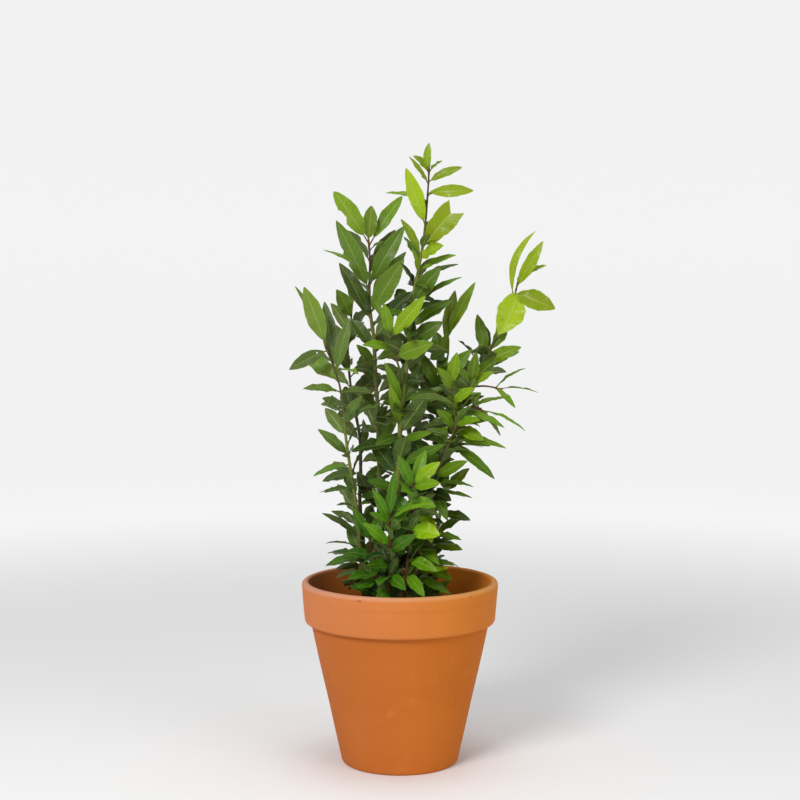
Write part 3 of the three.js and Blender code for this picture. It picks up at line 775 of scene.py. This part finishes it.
def add_bud(parts, base, way):
    line = np.array([base + way * d for d in (-1.5, 0.5, 2.2, 4, 5.4)])
    points, faces = tube_rings(line, (0.8, 1.35, 1.45, 0.85, 0.2), 8)
    parts.add(points, faces, flat_colour(len(points), 0.9, 0.3, 1))


# Materials


class Nodes:
    """Short ways to add and join the nodes of one material."""

    def __init__(self, name):
        self.material = bpy.data.materials.new(name)
        self.material.use_nodes = True
        self.tree = self.material.node_tree
        self.shader = self.tree.nodes["Principled BSDF"]

    def put(self, target, value):
        if isinstance(value, bpy.types.NodeSocket):
            self.tree.links.new(value, target)
        elif isinstance(value, tuple) and len(value) == 3 and target.type == "RGBA":
            target.default_value = (*value, 1)
        else:
            target.default_value = value

    def node(self, kind, *values, **named):
        """The outputs of a new node. named holds its settings and those inputs that go by name."""
        made = self.tree.nodes.new("ShaderNode" + kind)
        for key, value in named.items():
            if hasattr(made, key):
                setattr(made, key, value)
            else:
                self.put(made.inputs[key], value)
        for socket, value in zip(made.inputs, values):
            self.put(socket, value)
        return made.outputs

    def maths(self, operation, *values):
        return self.node("Math", *values, operation=operation)[0]

    def times(self, a, b):
        return self.maths("MULTIPLY", a, b)

    def plus(self, a, b):
        return self.maths("ADD", a, b)

    def minus(self, a, b):
        return self.maths("SUBTRACT", a, b)

    def mix(self, factor, a, b, blend="MIX"):
        made = self.tree.nodes.new("ShaderNodeMix")
        made.data_type = "RGBA"
        made.blend_type = blend
        for i, value in ((0, factor), (6, a), (7, b)):
            self.put(made.inputs[i], value)
        return made.outputs[2]

    def ramp(self, value, low, high, to_low=0, to_high=1):
        values = (value, low, high, to_low, to_high)
        return self.node("MapRange", *values, interpolation_type="SMOOTHSTEP")[0]

    def place(self):
        return self.node("TexCoord")["Object"]

    def noise(self, scale, detail=3, roughness=0.55, stretch=(1, 1, 1)):
        spread = self.node("Mapping", Vector=self.place(), Scale=stretch)[0]
        made = self.node("TexNoise", Vector=spread, Scale=scale, Detail=detail, Roughness=roughness)
        return made["Fac"]

    def distance(self, place, centre):
        return self.node("VectorMath", place, centre, operation="DISTANCE")["Value"]

    def bump(self, height, strength, distance, **below):
        return self.node("Bump", Height=height, Strength=strength, Distance=distance, **below)[0]

    def tint(self):
        layer = self.node("Attribute", attribute_name="tint")
        return (*self.node("SeparateColor", layer["Color"]), layer["Alpha"])

    def finish(self, **inputs):
        for key, value in inputs.items():
            self.put(self.shader.inputs[key.replace("_", " ")], value)
        return self.material


OLD_LEAF = (0.012, 0.038, 0.004)
MIDDLE_LEAF = (0.086, 0.195, 0.002)
YOUNG_LEAF = (0.185, 0.295, 0.002)
FRESH_LEAF = (0.262, 0.375, 0.002)
LEAF_UNDERSIDE = (0.14, 0.21, 0.06)
PALE_VEIN = (0.48, 0.56, 0.15)
DUSTY_LEAF = (0.21, 0.3, 0.095)
BROWN_SPOT = (0.09, 0.05, 0.015)


def leaf_material():
    m = Nodes("bay_leaf")
    fresh, chance, upper, dusty = m.tint()
    along, across, _ = m.node("SeparateXYZ", m.node("UVMap", uv_map="blade")[0])
    out = m.maths("ABSOLUTE", m.minus(m.times(across, 2), 1))
    rib = m.ramp(out, 0.02, 0.1, 1, 0)
    sweep = m.minus(along, m.times(out, 0.13))
    stripes = m.maths("FRACT", m.times(sweep, 11))
    vein_gap = m.maths("ABSOLUTE", m.minus(stripes, 0.5))
    vein = m.times(m.ramp(vein_gap, 0.02, 0.13, 1, 0), m.ramp(out, 0.75, 1, 1, 0.2))
    patches = m.noise(38, 4)
    fine = m.noise(420)
    age = m.plus(fresh, m.times(m.minus(patches, 0.5), 0.2))
    face = m.mix(m.ramp(age, 0.04, 0.5), OLD_LEAF, MIDDLE_LEAF)
    face = m.mix(m.ramp(age, 0.36, 0.8), face, YOUNG_LEAF)
    face = m.mix(m.ramp(age, 0.72, 1), face, FRESH_LEAF)
    x, _, z = m.node("SeparateXYZ", m.place())
    lush = m.times(m.ramp(z, 0.28, 0.46, 1, 0), m.ramp(x, 0, 0.06, 1, 0.1))
    shade = m.plus(0.73, m.times(chance, 0.54))
    red_shade = m.times(shade, m.minus(1, m.times(lush, 0.38)))
    face = m.mix(1, face, m.node("CombineColor", red_shade, shade, shade)[0], "MULTIPLY")
    face = m.mix(m.times(dusty, 0.42), face, DUSTY_LEAF)
    pale = m.mix(0.55, face, PALE_VEIN)
    face = m.mix(m.times(vein, 0.16), face, pale)
    face = m.mix(m.times(rib, m.ramp(age, 0.2, 0.8, 0.4, 0.52)), face, pale)
    face = m.mix(m.ramp(out, 0.88, 1, 0, 0.3), face, pale)
    spots = m.ramp(m.noise(150, 2), 0.735, 0.775)
    face = m.mix(m.times(spots, m.ramp(age, 0.5, 1, 0.7, 0.25)), face, BROWN_SPOT)
    beneath = m.mix(0.45, LEAF_UNDERSIDE, face)
    lines = m.maths("MAXIMUM", rib, m.times(vein, 0.35))
    beneath = m.mix(m.times(lines, 0.5), beneath, PALE_VEIN)
    colour = m.mix(upper, beneath, face)
    gloss = m.ramp(upper, 0, 1, 0.6, 0.33)
    roughness = m.plus(gloss, m.times(m.minus(fine, 0.5), 0.2))
    height = m.plus(m.times(vein, -0.45), m.times(rib, -0.2))
    height = m.plus(height, m.times(patches, 0.8))
    normal = m.bump(height, 0.55, 0.0007, Normal=m.bump(fine, 0.3, 0.0003))
    return m.finish(
        Base_Color=colour, Roughness=roughness, Normal=normal, Specular_IOR_Level=0.2,
        Subsurface_Weight=0.18, Subsurface_Scale=0.002,
    )


def bark_material():
    """tint holds how green the bark is, how red, and how young."""
    m = Nodes("bay_bark")
    green, red, young, _ = m.tint()
    streaks = m.noise(260, 4, 0.6, (1, 1, 0.18))
    patches = m.noise(60)
    brown = m.mix(patches, (0.028, 0.018, 0.013), (0.07, 0.05, 0.03))
    purple = m.mix(patches, (0.016, 0.005, 0.005), (0.045, 0.014, 0.01))
    lime = m.mix(patches, (0.17, 0.22, 0.03), (0.29, 0.33, 0.055))
    rust = m.mix(patches, (0.14, 0.03, 0.014), (0.27, 0.07, 0.026))
    colour = m.mix(young, brown, purple)
    colour = m.mix(m.times(red, 0.8), colour, rust)
    colour = m.mix(m.times(green, 0.8), colour, lime)
    dark = m.mix(0.55, colour, (0.02, 0.014, 0.01))
    colour = m.mix(m.times(streaks, 0.5), colour, dark)
    normal = m.bump(streaks, 0.6, 0.0006)
    return m.finish(Base_Color=colour, Roughness=0.6, Normal=normal, Specular_IOR_Level=0.22)


# Pot

POT_SIDES = 160
TURNED_SHARP = 50


def arc(x, z, radius, from_degrees, to_degrees, steps):
    angles = np.radians(np.linspace(from_degrees, to_degrees, steps + 1))
    return [(x + radius * math.cos(a), z + radius * math.sin(a)) for a in angles]


def filled(profile, longest=6):
    """The profile with its long straight stretches divided."""
    points = []
    for a, b in zip(profile, profile[1:]):
        steps = max(int(math.dist(a, b) / longest), 1)
        for i in range(steps):
            points.append((a[0] + (b[0] - a[0]) * i / steps, a[1] + (b[1] - a[1]) * i / steps))
    points.append(profile[-1])
    return points


def turned(name, profile, segments, wobble):
    """A closed turned mesh from a profile of radius and height that starts and ends on the axis."""
    inside = profile[1:-1]
    angles = 2 * np.pi * np.arange(segments) / segments
    points = [
        wobble(np.array(on_circle(radius, angle, height)), radius)
        for radius, height in inside for angle in angles
    ]
    points = [(0, 0, profile[0][1]), *points, (0, 0, profile[-1][1])]
    faces = []
    for s in range(segments):
        n = (s + 1) % segments
        faces.append((0, 1 + n, 1 + s))
        top = 1 + (len(inside) - 1) * segments
        faces.append((top + s, top + n, len(points) - 1))
    faces += ring_faces(len(inside), segments, 1)
    return new_mesh_object(name, points, faces, sharp=TURNED_SHARP)


def clay_wobble(point, radius):
    """Small unevenness of fired clay, and a few chips on the edges of the rim."""
    away = Vector(point) * 0.02
    swell = 0.35 * noise.noise(away) + 0.12 * noise.noise(away * 6)
    out = np.array((point[0], point[1], 0)) / max(radius, 1)
    moved = point + out * swell
    if point[2] > POT_HEIGHT - 6 and radius > MOUTH_RADIUS:
        chip = max(noise.noise(Vector(point) * 0.09 + Vector((7, 3, 1))) - 0.42, 0)
        moved = moved - np.array((0, 0, 2.2 * chip)) - out * 1.6 * chip
        moved[2] += 0.25 * noise.noise(Vector(point) * 0.03)
    return moved


def pot_profile():
    band_foot = POT_HEIGHT - BAND_HEIGHT
    outline = [
        (0, 0),
        *arc(FOOT_RADIUS - 4, 4, 4, -90, -12, 5),
        (BODY_TOP_RADIUS, band_foot - 3),
        *arc(BODY_TOP_RADIUS + 1.6, band_foot - 1.6, 1.6, 180, 90, 3),
        *arc(BAND_FOOT_RADIUS - 4.5, band_foot + 4.5, 4.5, -90, 0, 6),
        *arc(RIM_RADIUS - 5, POT_HEIGHT - 5, 5, 2, 90, 7),
        *arc(MOUTH_RADIUS + 3.5, POT_HEIGHT - 3.5, 3.5, 90, 178, 5),
        *arc(FLOOR_RADIUS - 3, FLOOR_THICKNESS + 4, 4, 0, -90, 4),
        (0, FLOOR_THICKNESS),
    ]
    return filled(outline)


def make_pot():
    pot = turned("pot_clay", pot_profile(), POT_SIDES, clay_wobble)
    work = bmesh.new()
    for i in range(DRAIN_COUNT):
        angle = math.pi / 2 + i * 2 * math.pi / DRAIN_COUNT
        bmesh.ops.create_cone(
            work, cap_ends=True, segments=32, radius1=DRAIN_RADIUS * MM, radius2=DRAIN_RADIUS * MM,
            depth=3 * FLOOR_THICKNESS * MM,
            matrix=Matrix.Translation(on_circle(DRAIN_CIRCLE * MM, angle, 0)),
        )
    holes = bpy.data.meshes.new("drains")
    work.to_mesh(holes)
    work.free()
    tool = add_object("drains", holes)
    cut = pot.modifiers.new("drains", "BOOLEAN")
    cut.operation = "DIFFERENCE"
    cut.object = tool
    bpy.context.view_layer.update()
    shaped = bpy.data.meshes.new_from_object(pot.evaluated_get(bpy.context.evaluated_depsgraph_get()))
    pot.modifiers.clear()
    pot.data = shaped
    bpy.data.objects.remove(tool)
    shaped.set_sharp_from_angle(angle=math.radians(TURNED_SHARP))
    return pot


# Marks on the band, seen in the photo: place and reach in metres

MARKS = (
    ((-0.05, -0.1145, 0.2275), 0.002),
    ((-0.0476, -0.1158, 0.2272), 0.0014),
    ((0.086, -0.0905, 0.228), 0.0018),
)


def terracotta_material():
    m = Nodes("terracotta")
    place = m.place()
    x, y, height = m.node("SeparateXYZ", place)
    across = m.maths("SQRT", m.plus(m.times(x, x), m.times(y, y)))
    wall_middle = m.plus(0.0682, m.times(height, 0.214))
    inside = m.ramp(m.minus(wall_middle, across), -0.001, 0.001)
    broad = m.noise(7, 4)
    middle = m.noise(45, 5, 0.6)
    grain = m.noise(900, 3, 0.6)
    rings = m.noise(34, 3, 0.5, (0.12, 0.12, 4))
    body = m.mix(m.ramp(broad, 0.3, 0.7), (0.485, 0.13, 0.016), (0.535, 0.147, 0.02))
    band = m.mix(m.ramp(broad, 0.3, 0.7), (0.585, 0.182, 0.037), (0.625, 0.202, 0.049))
    colour = m.mix(m.ramp(height, 0.179, 0.184), body, band)
    # Painted highlight: the top of the rim is lighter.
    colour = m.mix(m.ramp(height, 0.226, 0.2315, 0, 0.55), colour, (0.61, 0.35, 0.18))
    colour = m.mix(m.ramp(middle, 0.55, 0.75, 0, 0.16), colour, (0.68, 0.25, 0.07))
    colour = m.mix(m.ramp(rings, 0.5, 0.75, 0, 0.15), colour, (0.44, 0.11, 0.012))
    colour = m.mix(m.ramp(grain, 0.45, 0.8, 0, 0.2), colour, (0.36, 0.11, 0.03))
    # Painted light and shade on the inner wall: dark on the left, lit on the right, laid on more
    # strongly towards the floor.
    depth = m.ramp(height, 0.15, 0.2345, 0.9, 0.72)
    lit = m.ramp(x, -0.02, 0.11)
    inner_wall_painted_light_and_shade = m.mix(lit, (0.29, 0.075, 0.001), (0.84, 0.25, 0.02))
    colour = m.mix(m.times(inside, depth), colour, inner_wall_painted_light_and_shade)
    # Painted light: paler and bluer on the lit left side, deeper orange on the right.
    painted_light_tint = m.mix(m.ramp(x, -0.11, 0.11), (0.97, 1, 1.5), (1, 0.98, 0.62))
    colour = m.mix(1, colour, painted_light_tint, "MULTIPLY")
    for centre, reach in MARKS:
        away = m.distance(place, centre)
        colour = m.mix(m.ramp(away, reach * 0.55, reach, 0.75, 0), colour, (0.26, 0.07, 0.03))
    pits = m.ramp(m.noise(260, 2), 0.755, 0.8)
    colour = m.mix(m.times(pits, 0.7), colour, (0.2, 0.06, 0.025))
    surface = m.minus(m.times(grain, 0.35), m.times(pits, 0.9))
    surface = m.plus(surface, m.times(rings, 0.6))
    normal = m.bump(surface, 0.5, 0.0006)
    roughness = m.plus(0.72, m.times(middle, 0.2))
    return m.finish(Base_Color=colour, Roughness=roughness, Normal=normal, Specular_IOR_Level=0.16)


# Soil

SOIL_SIDES = 120
SOIL_RINGS = 44
CRUMB_COUNT = 420
CRUMB_SEED = 71


def make_soil():
    bottom = FLOOR_THICKNESS + 0.6
    edge = inner_radius(SOIL_TOP - 3) - 1
    profile = [(0, bottom), (inner_radius(bottom) - 1, bottom), (edge, SOIL_TOP - 4)]
    for i in range(SOIL_RINGS):
        share = 1 - i / SOIL_RINGS
        profile.append((edge * share * 0.995, SOIL_TOP - 3 + 3 * (1 - share ** 2)))
    profile.append((0, SOIL_TOP))

    def crumble(point, radius):
        if point[2] < SOIL_TOP - 3.5:
            return point
        place = Vector(point)
        lump = 2.4 * noise.noise(place * 0.05) + 1.6 * noise.noise(place * 0.16)
        lump += 0.8 * noise.noise(place * 0.5)
        fade = min((edge + 2 - radius) / 8, 1)
        return point + np.array((0, 0, lump * fade))

    return turned("soil_bed", profile, SOIL_SIDES, crumble)


def make_crumbs():
    parts = Parts()
    draw = seeded_draw(CRUMB_SEED)
    shape = bmesh.new()
    bmesh.ops.create_icosphere(shape, subdivisions=2, radius=1)
    base = np.array([v.co for v in shape.verts])
    faces = [tuple(v.index for v in f.verts) for f in shape.faces]
    shape.free()
    edge = inner_radius(SOIL_TOP - 3) - 8
    for i in range(CRUMB_COUNT):
        radius = edge * math.sqrt(draw())
        angle = 2 * math.pi * draw()
        size = 0.8 + 2.4 * draw() ** 3
        centre = np.array(on_circle(radius, angle, SOIL_TOP - 0.2 + size * 0.3))
        rough = np.array([1 + 0.35 * noise.noise(Vector(p * 1.7) + Vector((i, 0, 0))) for p in base])
        spread = np.array((size, size * (0.7 + 0.5 * draw()), size * 0.7))
        points = centre + base * rough[:, None] * spread
        parts.add(points, faces, flat_colour(len(points), draw(), 0, 0))
    return parts.build("soil_crumbs", sharp=180)


def soil_material():
    m = Nodes("potting_soil")
    coarse = m.noise(70, 5, 0.65)
    fine = m.noise(500, 4, 0.7)
    colour = m.mix(coarse, (0.018, 0.011, 0.007), (0.075, 0.048, 0.03))
    colour = m.mix(m.ramp(fine, 0.62, 0.78, 0, 0.6), colour, (0.16, 0.11, 0.07))
    normal = m.bump(m.plus(coarse, fine), 0.9, 0.0015)
    return m.finish(Base_Color=colour, Roughness=0.94, Normal=normal, Specular_IOR_Level=0.2)


# The plant

leaf_look = leaf_material()
bark_look = bark_material()
bush_leaves = grow_bush()


def make_leafy_stem(name, limbs, order):
    node = f"bay_stem_{name}"
    blades = Parts()
    wood = Parts()
    draw = seeded_draw(500 + order)
    for leaf in bush_leaves[name]:
        seen = leaf["seen"]
        place = (name, leaf["limb"], seen)
        limb = limbs[leaf["limb"]]
        if seen is None:
            near = max(1 - leaf["from_tip"] / FRESH_REACH, 0)
            fresh = INNER_FRESH + (limb["fresh"] - INNER_FRESH) * near + 0.36 * (draw() - 0.5)
        else:
            fresh = int(limb["tones"][seen]) / 9 + 0.06 * (draw() - 0.5)
        fresh = min(max(fresh, 0), 1)
        own = OWN_SHAPES.get(place, {})
        if "tip_shift" in own:
            kept = {key: leaf[key] for key in ("root", "width", "phase", "petiole")}
            leaf.update(make_leaf(tip=leaf["tip"] + own["tip_shift"], face_to=leaf["normal"], **kept))
        leaf["width"] *= own.get("wider", RULE_LEAF_WIDER if seen is None else 1)
        leaf["sway"] = own.get("sway", 0)
        leaf["torn"] = own.get("torn", (1, 0))
        leaf["blunt"] = own.get("blunt", SMALL_BLUNT if leaf["small"] else BLUNT)
        leaf["stalk"] = leaf["petiole"] * STALK_SHARE
        pale = PALENESS.get(name, 0) * (0.7 + 0.6 * draw())
        add_blade(blades, leaf, fresh, draw(), pale, BITES.get(place, ()), HOLES.get(place, ()))
        green, red = limb["bark"]
        green = max(0.35 + 0.5 * green * draw(), 1.1 * fresh)
        add_petiole(wood, leaf, green, (0.3 + 0.6 * red) * (1 - 0.6 * fresh))
    for k, limb in enumerate(limbs):
        add_limb(wood, limb, [leaf for leaf in bush_leaves[name] if leaf["limb"] == k], k > 0)
    pieces = [blades.build(f"leaves_{name}"), wood.build(f"wood_{name}")]
    for piece, look in zip(pieces, (leaf_look, bark_look)):
        piece.data.materials.append(look)
        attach(piece, "root")
        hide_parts(node)


for order, (name, limbs) in enumerate(STEMS.items()):
    make_leafy_stem(name, limbs, order)

pot = make_pot()
pot.data.materials.clear()
pot.data.materials.append(terracotta_material())
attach(pot, "root")
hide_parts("pot")

soil_look = soil_material()
for piece in (make_soil(), make_crumbs()):
    piece.data.materials.append(soil_look)
    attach(piece, "root")
    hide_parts("soil")

# Floor and backdrop, in metres

STAGE_RADIUS = 2.4
STAGE_CURVE = 0.8
STAGE_TOP = 1.7
STAGE_SIDES = 96


def make_stage():
    """A pale round floor that curves up into a wall all round, further out than the camera; the outer
    floor and the wall glow as painted light.
    """
    curve = [(r, 0) for r in (0.6, 1.2, 1.8, STAGE_RADIUS)]
    for a in np.linspace(0.1, math.pi / 2, 14):
        curve.append((STAGE_RADIUS + STAGE_CURVE * math.sin(a), STAGE_CURVE * (1 - math.cos(a))))
    curve.append((STAGE_RADIUS + STAGE_CURVE, STAGE_TOP))
    points = [(0, 0, 0)] + [
        on_circle(radius * 1000, 2 * math.pi * i / STAGE_SIDES, height * 1000)
        for radius, height in curve for i in range(STAGE_SIDES)
    ]
    faces = [(0, 1 + i, 1 + (i + 1) % STAGE_SIDES) for i in range(STAGE_SIDES)]
    faces += ring_faces(len(curve), STAGE_SIDES, 1, outward=False)
    stage = new_mesh_object("stage_floor", points, faces)
    m = Nodes("stage_paper")
    soft = m.noise(1.5, 2)
    colour = m.mix(soft, (0.86, 0.865, 0.87), (0.885, 0.89, 0.895))
    place = m.place()
    far = m.ramp(m.distance(place, (0, 0, 0)), 0.6, STAGE_RADIUS)
    colour = m.mix(far, colour, (0.12, 0.12, 0.12))
    # Painted light: the outer floor and the wall glow, more behind the plant than behind the camera.
    glow = m.times(far, m.ramp(m.node("SeparateXYZ", place)[1], -1.5, 1.5, 0.45, 0.78))
    stage.data.materials.append(m.finish(
        Base_Color=colour, Roughness=0.8, Emission_Color=(1, 1, 1), Emission_Strength=glow,
    ))
    stage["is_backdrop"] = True


make_stage()

# Camera and light

CAMERA_PLACE = (0, -1.982, 0.598)
CAMERA_DOWN = math.radians(3.92)
CAMERA_LENS = 70.6

camera = add_object("camera", bpy.data.cameras.new("camera"))
camera.data.lens = CAMERA_LENS
camera.data.sensor_width = 36
camera.location = CAMERA_PLACE
camera.rotation_euler = (math.pi / 2 - CAMERA_DOWN, 0, 0)
bpy.context.scene.camera = camera


def make_light(name, place, aim_height, size, power, colour):
    data = bpy.data.lights.new(name, "AREA")
    data.shape = "RECTANGLE"
    data.size, data.size_y = size
    data.energy = power
    data.color = colour
    lamp = add_object(name, data)
    lamp.location = place
    way = Vector((0, 0, aim_height)) - Vector(place)
    lamp.rotation_euler = way.to_track_quat("-Z", "Y").to_euler()


make_light("key", (-1.1, -2, 1.9), 0.4, (0.95, 0.75), 47, (1, 0.99, 0.975))
make_light("fill", (1.7, -1.6, 1.1), 0.4, (1.4, 1.4), 14, (0.98, 0.99, 1))
make_light("top", (0.1, 0, 2.6), 0.3, (1.2, 1.2), 16, (1, 1, 1))

world = bpy.data.worlds.new("studio")
world.use_nodes = True
background = world.node_tree.nodes["Background"]
background.inputs["Color"].default_value = (1, 1, 1, 1)
background.inputs["Strength"].default_value = 0.27
bpy.context.scene.world = world
settings = bpy.context.scene.view_settings
settings.view_transform = "Standard"
settings.look = "None"


def corners(box):
    return [[float(number) for number in corner] for corner in box]


{"cad": corners(cad_box), "visual": corners(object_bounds())}
